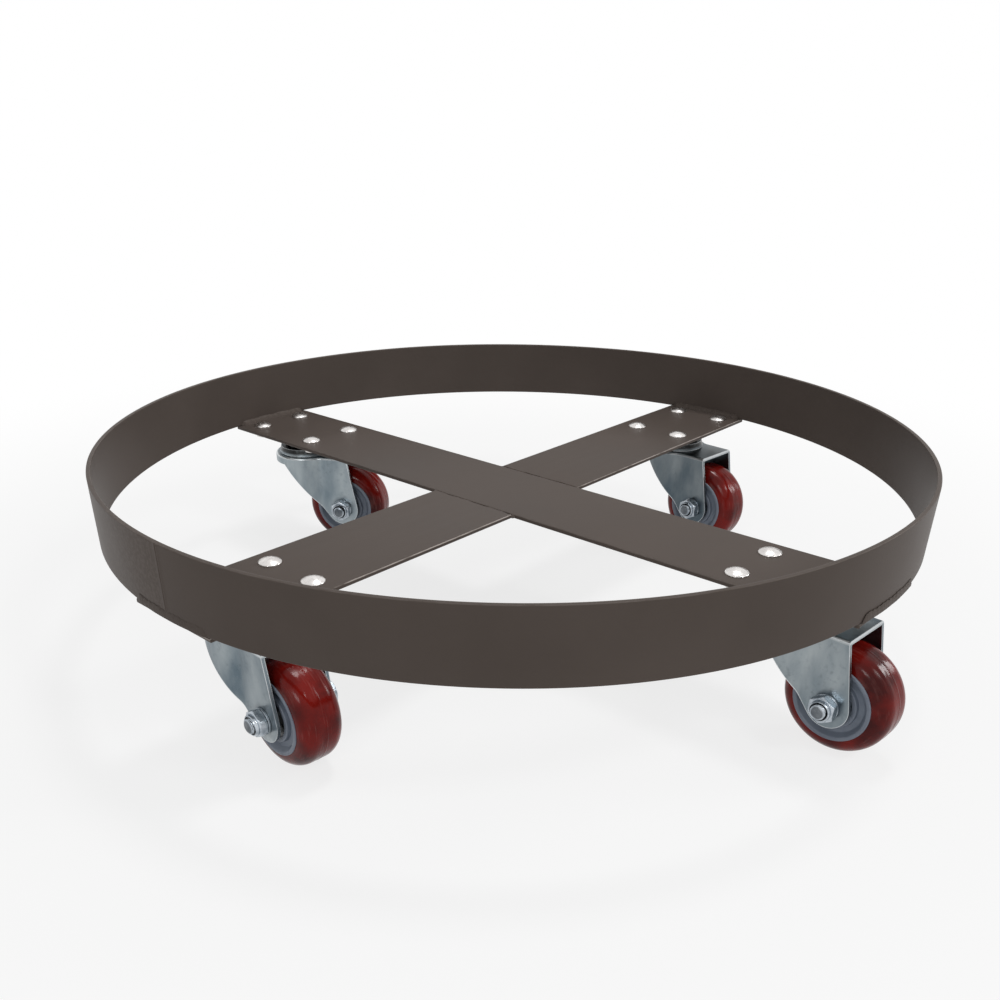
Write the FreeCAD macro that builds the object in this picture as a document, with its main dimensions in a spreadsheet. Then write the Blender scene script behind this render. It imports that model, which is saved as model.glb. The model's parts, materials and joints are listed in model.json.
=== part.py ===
import FreeCAD, Part
import math
import os
import Sketcher

# Drum trolley: a flat steel hoop welded on top of a flat-bar cross, on four swivel castors.
# The origin is on the floor under the middle of the hoop, and +Z points up.
# The cross lies on the diagonals, with the long bar from the back left to the front right.

LENGTHS = {
    # Hoop and cross
    "hoop_outer_diameter": 620.0,
    "hoop_band": 3.0,
    "hoop_height": 49.0,
    "hoop_edge_round": 0.6,
    "bar_width": 80.0,
    "bar_thickness": 3.0,
    "inner_weld_leg": 4.0,
    "outer_weld_height": 5.5,
    "outer_weld_crown": 0.7,
    "seam_weld_width": 7.0,
    "seam_weld_height": 1.6,
    "weld_inset": 3.0,
    # Bolts that hold the castor plates
    "swivel_inset": 56.0,
    "bolt_pitch_along": 73.0,
    "bolt_pitch_across": 45.0,
    "bolt_diameter": 8.0,
    "bolt_clearance": 0.3,
    "bolt_head_diameter": 16.5,
    "bolt_head_height": 3.4,
    "bolt_tail": 1.0,
    "bolt_nut_width": 13.0,
    "bolt_nut_height": 4.0,
    "bolt_nut_clearance": 0.1,
    # Castor top plate and swivel head
    "castor_height": 104.0,
    "castor_trail": 41.0,
    "plate_length": 92.0,
    "plate_width": 60.0,
    "plate_thickness": 2.5,
    "plate_corner_radius": 8.0,
    "plate_dish_radius": 24.0,
    "plate_dish_depth": 5.0,
    "press_draft": 1.6,
    "upper_ball_diameter": 6.0,
    "upper_ball_circle": 35.0,
    "upper_race_depth": 0.9,
    "lower_ball_diameter": 5.0,
    "lower_ball_circle": 27.0,
    "lower_race_depth": 0.5,
    "ball_clearance": 0.15,
    "cap_diameter": 35.0,
    "cap_thickness": 2.3,
    "king_pin_diameter": 12.0,
    "king_pin_clearance": 0.1,
    "king_head_diameter": 20.0,
    "king_head_height": 3.2,
    "king_rivet_diameter": 19.0,
    "king_rivet_height": 3.0,
    # Fork
    "fork_sheet": 2.5,
    "fork_width": 44.4,
    "fork_head_radius": 29.5,
    "fork_rear_reach": 6.0,
    "fork_skirt": 8.0,
    "fork_skirt_start": 12.5,
    "fork_leg_radius": 15.3,
    "fork_crease_radius": 9.0,
    "fork_bend_radius": 2.4,
    "fork_race_radius": 24.0,
    "fork_race_rise": 5.8,
    "fork_bore_clearance": 0.8,
    # Axle
    "axle_diameter": 10.0,
    "axle_clearance": 0.1,
    "axle_head_width": 17.0,
    "axle_head_height": 6.0,
    "axle_washer_diameter": 18.0,
    "axle_washer_thickness": 1.6,
    "axle_nut_height": 6.0,
    "axle_collar_diameter": 14.4,
    "axle_collar_height": 2.2,
    "axle_tail": 2.2,
    "sleeve_diameter": 15.8,
    # Wheel
    "wheel_diameter": 75.0,
    "tread_width": 32.0,
    "tread_land": 0.3,
    "core_width": 34.0,
    "core_rim_diameter": 53.6,
    "core_rib_diameter": 58.0,
    "core_rib_width": 12.0,
    "core_lip": 2.6,
    "core_dish_slope": 2.6,
    "core_dish_depth": 4.0,
    "core_boss_diameter": 35.0,
    "core_boss_setback": 0.5,
    "core_shoulder": 1.5,
    "bearing_diameter": 28.0,
    "bearing_wall": 2.3,
    "bearing_width": 8.0,
    "bearing_spacing": 22.0,
    "bearing_ball_diameter": 4.8,
    "bearing_ball_circle": 19.8,
    "bearing_shield": 0.6,
    "bearing_shield_clearance": 0.35,
    # How far a cut runs past the piece that it cuts
    "cut_overrun": 5.0,
}

# Degrees from +X. Each swivel angle says which way the wheel trails from its swivel axis.
ANGLES = {
    "long_bar_angle": -45.0,
    "front_right_swivel": -49.1,
    "back_right_swivel": -49.4,
    "back_left_swivel": -16.3,
    "front_left_swivel": -48.9,
}

COUNTS = {
    "castor_count": 4,
    "upper_ball_count": 16,
    "lower_ball_count": 14,
    "bearing_ball_count": 9,
}

doc = FreeCAD.newDocument("DrumTrolley")
sheet = doc.addObject("Spreadsheet::Sheet", "Sizes")
for row, (name, number) in enumerate({**LENGTHS, **ANGLES, **COUNTS}.items(), start=1):
    sheet.set(f"A{row}", name)
    sheet.set(f"B{row}", str(number))
    sheet.setAlias(f"B{row}", name)
doc.recompute()


class Formula:
    """A size worked out from the sheet: the text that is bound, and what it comes to now."""

    def __init__(self, text, value):
        self.text = text
        self.value = value

    def __add__(self, other):
        other = formula(other)
        return Formula(f"({self.text} + {other.text})", self.value + other.value)

    def __sub__(self, other):
        other = formula(other)
        return Formula(f"({self.text} - {other.text})", self.value - other.value)

    def __mul__(self, other):
        other = formula(other)
        return Formula(f"({self.text} * {other.text})", self.value * other.value)

    def __truediv__(self, other):
        other = formula(other)
        return Formula(f"({self.text} / {other.text})", self.value / other.value)

    def __neg__(self):
        return Formula(f"(0 - {self.text})", -self.value)


def formula(number):
    """A plain number, such as a count or a half, as a Formula."""
    return number if isinstance(number, Formula) else Formula(str(number), float(number))


def size(name):
    return Formula(f"Sizes.{name}", float(getattr(sheet, name)))


def cosine(angle):
    return Formula(f"cos({angle.text})", math.cos(math.radians(angle.value)))


def sine(angle):
    return Formula(f"sin({angle.text})", math.sin(math.radians(angle.value)))


def root(square):
    return Formula(f"sqrt({square.text})", math.sqrt(square.value))


def arc_cosine(share):
    return Formula(f"acos({share.text})", math.degrees(math.acos(share.value)))


def arc_sine(share):
    return Formula(f"asin({share.text})", math.degrees(math.asin(share.value)))


def direction(x, y):
    """Angle of the arrow from the origin to (x, y), for an arrow that points up."""
    along = root(x * x + y * y)
    return arc_cosine(x / along), along


ZERO = formula(0)
overrun = size("cut_overrun")

# Heights above the floor
plate_top = size("castor_height")
plate_under = plate_top - size("plate_thickness")
dish_floor = plate_top - size("plate_dish_depth")
dish_under = dish_floor - size("plate_thickness")
upper_ball_radius = size("upper_ball_diameter") / 2
upper_ball_seat = upper_ball_radius - size("upper_race_depth")
upper_ball_height = dish_under - upper_ball_seat
fork_race_top = upper_ball_height - upper_ball_seat
fork_race_under = fork_race_top - size("fork_sheet")
fork_top = fork_race_top - size("fork_race_rise")
fork_under = fork_top - size("fork_sheet")
lower_ball_radius = size("lower_ball_diameter") / 2
lower_ball_seat = lower_ball_radius - size("lower_race_depth")
lower_ball_height = fork_race_under - lower_ball_seat
cap_top = lower_ball_height - lower_ball_seat
cap_under = cap_top - size("cap_thickness")
bar_top = plate_top + size("bar_thickness")
wheel_radius = size("wheel_diameter") / 2

# Radii and widths that several pieces share
hoop_radius = size("hoop_outer_diameter") / 2
hoop_inner_radius = hoop_radius - size("hoop_band")
swivel_radius = hoop_radius - size("swivel_inset")
bar_side = size("bar_width") / 2
bar_end = root(hoop_radius * hoop_radius - bar_side * bar_side)
bolt_hole_radius = size("bolt_diameter") / 2 + size("bolt_clearance")
king_pin_radius = size("king_pin_diameter") / 2
king_hole_radius = king_pin_radius + size("king_pin_clearance")
upper_pitch = size("upper_ball_circle") / 2
lower_pitch = size("lower_ball_circle") / 2
fork_side = size("fork_width") / 2
axle_radius = size("axle_diameter") / 2
axle_hole_radius = axle_radius + size("axle_clearance")
core_rim_radius = size("core_rim_diameter") / 2
rib_radius = size("core_rib_diameter") / 2
rib_side = size("core_rib_width") / 2
bearing_radius = size("bearing_diameter") / 2
bearing_pitch = size("bearing_ball_circle") / 2
bearing_row = size("bearing_spacing") / 2
bearing_inner_side = bearing_row - size("bearing_width") / 2
bearing_outer_side = bearing_row + size("bearing_width") / 2
bearing_track_radius = size("bearing_ball_diameter") / 2 + size("ball_clearance")

ORIGIN = -1
START = 1
END = 2
CENTRE = 3


def origin_feature(body, role):
    return [feature for feature in body.Origin.OriginFeatures if feature.Role == role][0]


def new_body(name):
    return doc.addObject("PartDesign::Body", name)


def new_sketch(body, name, role, shift=None, lift=None):
    """A sketch on one of the body's origin planes, moved along its own x and off the plane."""
    sketch = body.newObject("Sketcher::SketchObject", name)
    sketch.AttachmentSupport = [(origin_feature(body, role), "")]
    sketch.MapMode = "FlatFace"
    if shift is not None:
        sketch.setExpression("AttachmentOffset.Base.x", shift.text)
    if lift is not None:
        sketch.setExpression("AttachmentOffset.Base.z", lift.text)
    return sketch


def pin_down(sketch, element, end, point):
    """Hold one end or centre of a sketch element at a point, both distances bound."""
    for kind, distance in zip(("DistanceX", "DistanceY"), point):
        row = sketch.addConstraint(Sketcher.Constraint(kind, ORIGIN, START, element, end, distance.value))
        sketch.setExpression(f"Constraints[{row}]", distance.text)


def vector(point):
    return FreeCAD.Vector(point[0].value, point[1].value, 0)


def draw_outline(sketch, points, arcs=None):
    """A closed outline through points. arcs gives, for a point's number, the centre of the arc
    that leaves it and whether that arc turns left (anticlockwise) or right."""
    arcs = arcs or {}
    following = points[1:] + points[:1]
    ends = []
    for number, (here, there) in enumerate(zip(points, following)):
        if number not in arcs:
            element = sketch.addGeometry(Part.LineSegment(vector(here), vector(there)))
            ends.append((element, START, END))
            continue
        centre, turn = arcs[number]
        first, last = (here, there) if turn == "left" else (there, here)
        middle = vector(centre)
        arms = [vector(first) - middle, vector(last) - middle]
        circle = Part.Circle(middle, FreeCAD.Vector(0, 0, 1), arms[0].Length)
        angles = [math.atan2(arm.y, arm.x) for arm in arms]
        element = sketch.addGeometry(Part.ArcOfCircle(circle, *angles))
        ends.append((element, START, END) if turn == "left" else (element, END, START))
        row = sketch.addConstraint(
            Sketcher.Constraint("DistanceX", ORIGIN, START, element, CENTRE, centre[0].value))
        sketch.setExpression(f"Constraints[{row}]", centre[0].text)
    for (element, start, end), (other, other_start, other_end) in zip(ends, ends[1:] + ends[:1]):
        sketch.addConstraint(Sketcher.Constraint("Coincident", element, end, other, other_start))
    for (element, start, end), point in zip(ends, points):
        pin_down(sketch, element, start, point)


def draw_circle(sketch, centre, radius):
    circle = Part.Circle(vector(centre), FreeCAD.Vector(0, 0, 1), radius.value)
    element = sketch.addGeometry(circle)
    row = sketch.addConstraint(Sketcher.Constraint("Radius", element, radius.value))
    sketch.setExpression(f"Constraints[{row}]", radius.text)
    pin_down(sketch, element, CENTRE, centre)


def pad(body, sketch, length):
    feature = body.newObject("PartDesign::Pad", f"{sketch.Name}_pad")
    feature.Profile = sketch
    feature.setExpression("Length", length.text)
    return feature


def cut(body, sketch, depth=None, upwards=False):
    """Cut a sketch out of the body: to a depth, or right through both ways."""
    feature = body.newObject("PartDesign::Pocket", f"{sketch.Name}_cut")
    feature.Profile = sketch
    feature.Reversed = upwards
    if depth is None:
        feature.Type = "ThroughAll"
        feature.Midplane = True
    else:
        feature.setExpression("Length", depth.text)
    return feature


def turn(body, sketch, kind="PartDesign::Revolution"):
    """Turn a sketch a full circle about its own vertical axis, adding or, with Groove, cutting."""
    feature = body.newObject(kind, f"{sketch.Name}_turn")
    feature.Profile = sketch
    feature.ReferenceAxis = (sketch, ["V_Axis"])
    return feature


def turned_piece(name, role, points, arcs=None):
    """A body turned from one outline of radius against height or width."""
    body = new_body(name)
    sketch = new_sketch(body, f"{name}_profile", role)
    draw_outline(sketch, points, arcs)
    turn(body, sketch)
    return body


def cut_ball_tracks(body, name, role, tracks):
    """Cut round ball tracks: each is a centre (radius, height) and the track's own radius."""
    sketch = new_sketch(body, name, role)
    for centre, radius in tracks:
        draw_circle(sketch, centre, radius)
    turn(body, sketch, "PartDesign::Groove")


def round_edges(body, name, test, radius):
    """Round the edges of the body so far that pass a test."""
    doc.recompute()
    before = body.Tip
    edges = [f"Edge{number}" for number, edge in enumerate(before.Shape.Edges, start=1) if test(edge)]
    feature = body.newObject("PartDesign::Fillet", name)
    feature.Base = (before, edges)
    feature.setExpression("Radius", radius.text)


def box_points(left, bottom, right, top):
    return [(left, bottom), (right, bottom), (right, top), (left, top)]


def hexagon_points(width):
    """Corners of a hexagon with this width across its flats."""
    corner = width / root(formula(3))
    turns = [formula(360) / 6 * number for number in range(6)]
    return [(corner * cosine(angle), corner * sine(angle)) for angle in turns]


def place(piece, x, y, height, angle):
    base = f"vector({x.text}; {y.text}; {height.text})"
    piece.setExpression("Placement", f"placement({base}; rotation(vector(0; 0; 1); {angle.text}))")


def clone(source, name):
    """Another piece of the same shape, with a place of its own."""
    body = new_body(name)
    base = doc.addObject("PartDesign::FeatureBase", f"{name}_base")
    base.BaseFeature = source
    body.Group = [base]
    body.Tip = base
    return body


subparts = []


# Hoop: one flat band on edge, standing on the cross
def make_hoop():
    points = box_points(hoop_inner_radius, bar_top, hoop_radius, bar_top + size("hoop_height"))
    body = turned_piece("hoop", "XZ_Plane", points)
    round_edges(body, "hoop_edges", lambda edge: isinstance(edge.Curve, Part.Circle), size("hoop_edge_round"))
    return body


def bolt_places(ends):
    """Bolt centres about each castor on a bar, at the given ends of it."""
    sides = (-1, 1)
    return [((swivel_radius + size("bolt_pitch_along") / 2 * inward) * end,
             size("bolt_pitch_across") / 2 * side)
            for end in ends for inward in sides for side in sides]


def make_bar(name, inner_end, ends, angle):
    """A flat bar with its castor bolt holes. Its end corners are flush with the hoop's outside."""
    body = new_body(name)
    outline = new_sketch(body, f"{name}_outline", "XY_Plane")
    draw_outline(outline, box_points(inner_end, -bar_side, bar_end, bar_side))
    pad(body, outline, size("bar_thickness"))
    holes = new_sketch(body, f"{name}_holes", "XY_Plane")
    for centre in bolt_places(ends):
        draw_circle(holes, centre, bolt_hole_radius)
    cut(body, holes)
    place(body, ZERO, ZERO, plate_top, angle)
    return body


# Weld beads: a fillet inside the hoop on each bar, a thin bead outside it,
# and a flat bead under each half bar's butt joint
def make_weld_beads():
    body = new_body("weld_beads")
    leg = size("inner_weld_leg")
    rim_welds = {
        "inner_weld": [(hoop_inner_radius, bar_top), (hoop_inner_radius, bar_top + leg),
                       (hoop_inner_radius - leg, bar_top)],
        "outer_weld": [(hoop_radius, bar_top), (hoop_radius + size("outer_weld_crown"), bar_top),
                       (hoop_radius, bar_top + size("outer_weld_height"))],
    }
    half_span = arc_sine((bar_side - size("weld_inset")) / hoop_inner_radius)
    beads = []
    for name, points in rim_welds.items():
        section = new_sketch(body, name, "XZ_Plane")
        draw_outline(section, points)
        bead = turn(body, section)
        bead.Midplane = True
        bead.setExpression("Angle", (half_span * 2).text)
        beads.append(bead)
    around = body.newObject("PartDesign::PolarPattern", "rim_welds")
    around.Originals = beads
    around.Axis = (origin_feature(body, "Z_Axis"), [""])
    around.Angle = 360
    around.setExpression("Occurrences", size("castor_count").text)
    body.Tip = around
    half_width = size("seam_weld_width") / 2
    crown = size("seam_weld_height")
    seam = new_sketch(body, "seam_weld", "YZ_Plane")
    draw_outline(seam, [(bar_side - half_width, plate_top), (bar_side, plate_top - crown),
                        (bar_side + half_width, plate_top)])
    strip = pad(body, seam, size("bar_width") - size("weld_inset") * 2)
    strip.Midplane = True
    mirrored = body.newObject("PartDesign::Mirrored", "seam_welds")
    mirrored.Originals = [strip]
    mirrored.MirrorPlane = (origin_feature(body, "XZ_Plane"), [""])
    body.Tip = mirrored
    place(body, ZERO, ZERO, ZERO, size("long_bar_angle"))
    return body


def repeat_on_castors(body, feature, name):
    """Repeat a fastener on the four holes of a castor plate, and on all the castors."""
    along = body.newObject("PartDesign::LinearPattern", f"{name}_along")
    along.Direction = (origin_feature(body, "X_Axis"), [""])
    along.setExpression("Length", size("bolt_pitch_along").text)
    across = body.newObject("PartDesign::LinearPattern", f"{name}_across")
    across.Direction = (origin_feature(body, "Y_Axis"), [""])
    across.setExpression("Length", size("bolt_pitch_across").text)
    for pattern in (along, across):
        pattern.Occurrences = 2
    around = body.newObject("PartDesign::PolarPattern", f"{name}_around")
    around.Axis = (origin_feature(body, "Z_Axis"), [""])
    around.Angle = 360
    around.setExpression("Occurrences", size("castor_count").text)
    repeat = body.newObject("PartDesign::MultiTransform", f"{name}_repeat")
    repeat.Originals = [feature]
    repeat.Transformations = [along, across, around]
    body.Tip = repeat
    place(body, ZERO, ZERO, ZERO, size("long_bar_angle"))


first_bolt_x = swivel_radius - size("bolt_pitch_along") / 2
first_bolt_y = size("bolt_pitch_across") / 2


# Castor bolts: low domed heads on the bars, shanks down through bar and plate
def make_castor_bolts():
    body = new_body("castor_bolts")
    radius = size("bolt_diameter") / 2
    head_radius = size("bolt_head_diameter") / 2
    head_height = size("bolt_head_height")
    tip = plate_under - size("bolt_nut_height") - size("bolt_tail")
    dome_radius = (head_radius * head_radius + head_height * head_height) / (head_height * 2)
    crown = (ZERO, bar_top + head_height)
    dome_centre = (ZERO, bar_top + head_height - dome_radius)
    profile = new_sketch(body, "castor_bolt_profile", "XZ_Plane", first_bolt_x, first_bolt_y)
    draw_outline(profile,
                 [(ZERO, tip), (radius, tip), (radius, bar_top), (head_radius, bar_top), crown],
                 {3: (dome_centre, "left")})
    repeat_on_castors(body, turn(body, profile), "castor_bolts")
    return body


# Castor nuts: plain hexagons under the castor plates
def make_castor_nuts():
    body = new_body("castor_nuts")
    height = size("bolt_nut_height")
    hexagon = new_sketch(body, "castor_nut_profile", "XY_Plane", first_bolt_x, plate_under - height)
    hexagon.setExpression("AttachmentOffset.Base.y", (-first_bolt_y).text)
    draw_outline(hexagon, hexagon_points(size("bolt_nut_width")))
    draw_circle(hexagon, (ZERO, ZERO), size("bolt_diameter") / 2 + size("bolt_nut_clearance"))
    repeat_on_castors(body, pad(body, hexagon, height), "castor_nuts")
    return body


def add_pressed_cup(body, name, outer_radius, rim, rise, sheet_thickness, bore_radius):
    """A round dish pressed in flat sheet: its floor stands off the sheet by rise (down or up),
    and its wall leans in by the press draft. rim is the height of the face that rises."""
    draft = size("press_draft")
    down = rise.value < 0
    step = -sheet_thickness if down else sheet_thickness
    other_face = rim - step
    hole = new_sketch(body, f"{name}_hole", "XY_Plane")
    draw_circle(hole, (ZERO, ZERO), outer_radius)
    cut(body, hole)
    wall = sheet_thickness
    cup = new_sketch(body, f"{name}_cup", "XZ_Plane")
    draw_outline(cup, [
        (outer_radius, other_face),
        (outer_radius + draft, other_face),
        (outer_radius + draft, rim),
        (outer_radius, rim + rise),
        (bore_radius, rim + rise),
        (bore_radius, rim + rise - step),
        (outer_radius - wall, rim + rise - step),
        (outer_radius - wall + draft, other_face),
    ])
    turn(body, cup)


# Castor plate: pressed steel with a round dish whose underside is the upper ball race
def make_castor_plate(name):
    body = new_body(name)
    end = size("plate_length") / 2
    side = size("plate_width") / 2
    corner = size("plate_corner_radius")
    inner_end = end - corner
    inner_side = side - corner
    outline = new_sketch(body, f"{name}_outline", "XY_Plane", lift=plate_under)
    points = [
        (inner_end, -side), (end, -inner_side), (end, inner_side), (inner_end, side),
        (-inner_end, side), (-end, inner_side), (-end, -inner_side), (-inner_end, -side),
    ]
    corners = {
        0: ((inner_end, -inner_side), "left"), 2: ((inner_end, inner_side), "left"),
        4: ((-inner_end, inner_side), "left"), 6: ((-inner_end, -inner_side), "left"),
    }
    draw_outline(outline, points, corners)
    pad(body, outline, size("plate_thickness"))
    add_pressed_cup(body, f"{name}_dish", size("plate_dish_radius"), plate_under,
                    -size("plate_dish_depth"), size("plate_thickness"), king_hole_radius)
    holes = new_sketch(body, f"{name}_holes", "XY_Plane")
    half_along = size("bolt_pitch_along") / 2
    half_across = size("bolt_pitch_across") / 2
    for centre in box_points(-half_along, -half_across, half_along, half_across):
        draw_circle(holes, centre, bolt_hole_radius)
    cut(body, holes)
    track = upper_ball_radius + size("ball_clearance")
    cut_ball_tracks(body, f"{name}_track", "XZ_Plane", [((upper_pitch, upper_ball_height), track)])
    return body


# King pin: a rivet with its head in the plate's dish, closed under the lower race cap
def make_king_pin(name):
    head_radius = size("king_head_diameter") / 2
    rivet_radius = size("king_rivet_diameter") / 2
    head_top = dish_floor + size("king_head_height")
    rivet_under = cap_under - size("king_rivet_height")
    return turned_piece(name, "XZ_Plane", [
        (ZERO, rivet_under), (rivet_radius, rivet_under), (rivet_radius, cap_under),
        (king_pin_radius, cap_under), (king_pin_radius, dish_floor), (head_radius, dish_floor),
        (head_radius, head_top), (ZERO, head_top),
    ])


# Lower race cap: a washer with a ball track, held up by the king pin inside the fork's head
def make_lower_cap(name):
    points = box_points(king_hole_radius, cap_under, size("cap_diameter") / 2, cap_top)
    body = turned_piece(name, "XZ_Plane", points)
    track = lower_ball_radius + size("ball_clearance")
    cut_ball_tracks(body, f"{name}_track", "XZ_Plane", [((lower_pitch, lower_ball_height), track)])
    return body


# Fork: one steel pressing, round at the head and bent in to two flat legs that hold the axle
def make_fork(name):
    body = new_body(name)
    head = size("fork_head_radius")
    metal = size("fork_sheet")
    rear = size("castor_trail") + size("fork_rear_reach")
    leg = size("fork_leg_radius")
    past_leg = size("castor_trail") + leg + overrun
    crease = root(head * head - fork_side * fork_side)
    plan = new_sketch(body, f"{name}_plan", "XY_Plane")
    draw_outline(plan, [(crease, fork_side), (crease, -fork_side),
                        (past_leg, -fork_side), (past_leg, fork_side)],
                 {0: ((ZERO, ZERO), "left")})
    pad(body, plan, fork_top)
    round_edges(body, f"{name}_creases", lambda edge: stands_at(edge, crease.value),
                size("fork_crease_radius"))
    round_edges(body, f"{name}_bend", lambda edge: is_side_of_top(edge, past_leg.value),
                size("fork_bend_radius"))

    inner_head = head - metal
    inner_side = fork_side - metal
    inner_crease = root(inner_head * inner_head - inner_side * inner_side)
    past_rear = past_leg + overrun
    inside = new_sketch(body, f"{name}_inside", "XY_Plane")
    draw_outline(inside, [(inner_crease, inner_side), (inner_crease, -inner_side),
                          (past_rear, -inner_side), (past_rear, inner_side)],
                 {0: ((ZERO, ZERO), "left")})
    cut(body, inside, fork_under, upwards=True)

    axle = (size("castor_trail"), wheel_radius)
    skirt = (-size("fork_skirt_start"), fork_top - size("fork_skirt"))
    past_front = -head - overrun
    above = fork_top + overrun
    rear_corner = (rear, fork_top)
    rear_angle, rear_distance = direction(rear_corner[0] - axle[0], rear_corner[1] - axle[1])
    rear_turn = rear_angle - arc_cosine(leg / rear_distance)
    skirt_angle, skirt_distance = direction(skirt[0] - axle[0], skirt[1] - axle[1])
    skirt_turn = skirt_angle + arc_cosine(leg / skirt_distance)
    rear_touch = (axle[0] + leg * cosine(rear_turn), axle[1] + leg * sine(rear_turn))
    skirt_touch = (axle[0] + leg * cosine(skirt_turn), axle[1] + leg * sine(skirt_turn))
    side_view = new_sketch(body, f"{name}_side", "XZ_Plane")
    draw_outline(side_view, [skirt, skirt_touch, rear_touch, rear_corner, (rear, above), (past_front, above),
                             (past_front, skirt[1])], {1: (axle, "left")})
    draw_outline(side_view, box_points(past_front - overrun, -overrun, past_rear, above + overrun))
    cut(body, side_view)

    add_pressed_cup(body, f"{name}_race", size("fork_race_radius"), fork_top, size("fork_race_rise"),
                    metal, king_pin_radius + size("fork_bore_clearance"))
    clearance = size("ball_clearance")
    cut_ball_tracks(body, f"{name}_tracks", "XZ_Plane", [
        ((upper_pitch, upper_ball_height), upper_ball_radius + clearance),
        ((lower_pitch, lower_ball_height), lower_ball_radius + clearance),
    ])
    axle_hole = new_sketch(body, f"{name}_axle_hole", "XZ_Plane")
    draw_circle(axle_hole, axle, axle_hole_radius)
    cut(body, axle_hole)
    return body


def stands_at(edge, x):
    """True for an upright edge at this x."""
    first, last = (vertex.Point for vertex in edge.Vertexes[:2])
    upright = (first - last).Length > 0 and abs(first.z - last.z) == (first - last).Length
    return upright and math.isclose(first.x, x, rel_tol=1e-6)


def is_side_of_top(edge, rear):
    """True for an edge of the fork's top face that isn't its rear edge."""
    points = [vertex.Point for vertex in edge.Vertexes]
    at_top = all(math.isclose(point.z, fork_top.value, rel_tol=1e-6) for point in points)
    at_rear = all(math.isclose(point.x, rear, rel_tol=1e-6) for point in points)
    return at_top and not at_rear


def add_ball(name, radius, x, y, z):
    ball = doc.addObject("Part::Sphere", name)
    ball.setExpression("Radius", radius.text)
    ball.setExpression("Placement.Base.x", x.text)
    ball.setExpression("Placement.Base.y", y.text)
    ball.setExpression("Placement.Base.z", z.text)
    return ball


def group(name, pieces):
    compound = doc.addObject("Part::Compound", name)
    compound.Links = pieces
    return compound


# Swivel balls: an upper row between plate and fork, and a lower row between fork and cap
def make_swivel_balls(name):
    rows = [
        ("upper", upper_ball_radius, upper_pitch, upper_ball_height),
        ("lower", lower_ball_radius, lower_pitch, lower_ball_height),
    ]
    balls = []
    for row, radius, pitch, height in rows:
        count = size(f"{row}_ball_count")
        for number in range(COUNTS[f"{row}_ball_count"]):
            angle = formula(360) / count * number
            balls.append(add_ball(f"{name}_{row}_{number}", radius,
                                  pitch * cosine(angle), pitch * sine(angle), height))
    return group(name, balls)


# The pieces from here on are made about the wheel's centre, with the axle along Y.
washer_face = fork_side + size("axle_washer_thickness")
nut_face = washer_face + size("axle_nut_height")
collar_face = nut_face + size("axle_collar_height")


# Axle bolt: hexagon head on one leg, tail standing out of the lock nut on the other
def make_axle_bolt(name):
    tail = collar_face + size("axle_tail")
    body = turned_piece(name, "XY_Plane", box_points(ZERO, -tail, axle_radius, washer_face))
    hexagon = new_sketch(body, f"{name}_head", "XZ_Plane", lift=-washer_face)
    draw_outline(hexagon, hexagon_points(size("axle_head_width")))
    head = pad(body, hexagon, size("axle_head_height"))
    head.Reversed = True
    return body


# Axle lock nut: a hexagon with a round locking collar
def make_axle_nut(name):
    bore = axle_hole_radius
    collar = size("axle_collar_diameter") / 2
    body = turned_piece(name, "XY_Plane", box_points(bore, -collar_face, collar, -washer_face))
    hexagon = new_sketch(body, f"{name}_hexagon", "XZ_Plane", lift=washer_face)
    draw_outline(hexagon, hexagon_points(size("axle_head_width")))
    draw_circle(hexagon, (ZERO, ZERO), bore)
    pad(body, hexagon, size("axle_nut_height"))
    return body


def add_mirror(body, feature, name):
    """The same again on the other side of the wheel."""
    mirrored = body.newObject("PartDesign::Mirrored", name)
    mirrored.Originals = feature
    mirrored.MirrorPlane = (origin_feature(body, "XZ_Plane"), [""])
    body.Tip = mirrored


# Axle washers: one under the bolt head and one under the nut
def make_axle_washers(name):
    points = box_points(axle_hole_radius, fork_side, size("axle_washer_diameter") / 2, washer_face)
    body = turned_piece(name, "XY_Plane", points)
    add_mirror(body, [body.Tip], f"{name}_pair")
    return body


# Axle sleeve: a tube clamped between the legs, with the inner ball tracks ground into it
def make_axle_sleeve(name):
    leg_face = fork_side - size("fork_sheet")
    points = box_points(axle_hole_radius, -leg_face, size("sleeve_diameter") / 2, leg_face)
    body = turned_piece(name, "XY_Plane", points)
    cut_ball_tracks(body, f"{name}_tracks", "XY_Plane", [
        ((bearing_pitch, -bearing_row), bearing_track_radius),
        ((bearing_pitch, bearing_row), bearing_track_radius),
    ])
    return body


# Wheel core: moulded plastic with a rim lip, a dished face and a bearing boss on each side
def make_wheel_core(name):
    side = size("core_width") / 2
    lip_radius = core_rim_radius - size("core_lip")
    dish_radius = lip_radius - size("core_dish_slope")
    dish_side = side - size("core_dish_depth")
    boss_radius = size("core_boss_diameter") / 2
    boss_side = side - size("core_boss_setback")
    shoulder_radius = bearing_radius - size("core_shoulder")
    face = [
        (core_rim_radius, side), (lip_radius, side), (dish_radius, dish_side), (boss_radius, dish_side),
        (boss_radius, boss_side), (bearing_radius, boss_side), (bearing_radius, bearing_inner_side),
        (shoulder_radius, bearing_inner_side),
    ]
    rib = [(core_rim_radius, rib_side), (rib_radius, rib_side)]
    half = rib[::-1] + face
    other_half = [(radius, -across) for radius, across in half[::-1]]
    return turned_piece(name, "XY_Plane", half + other_half)


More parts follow.
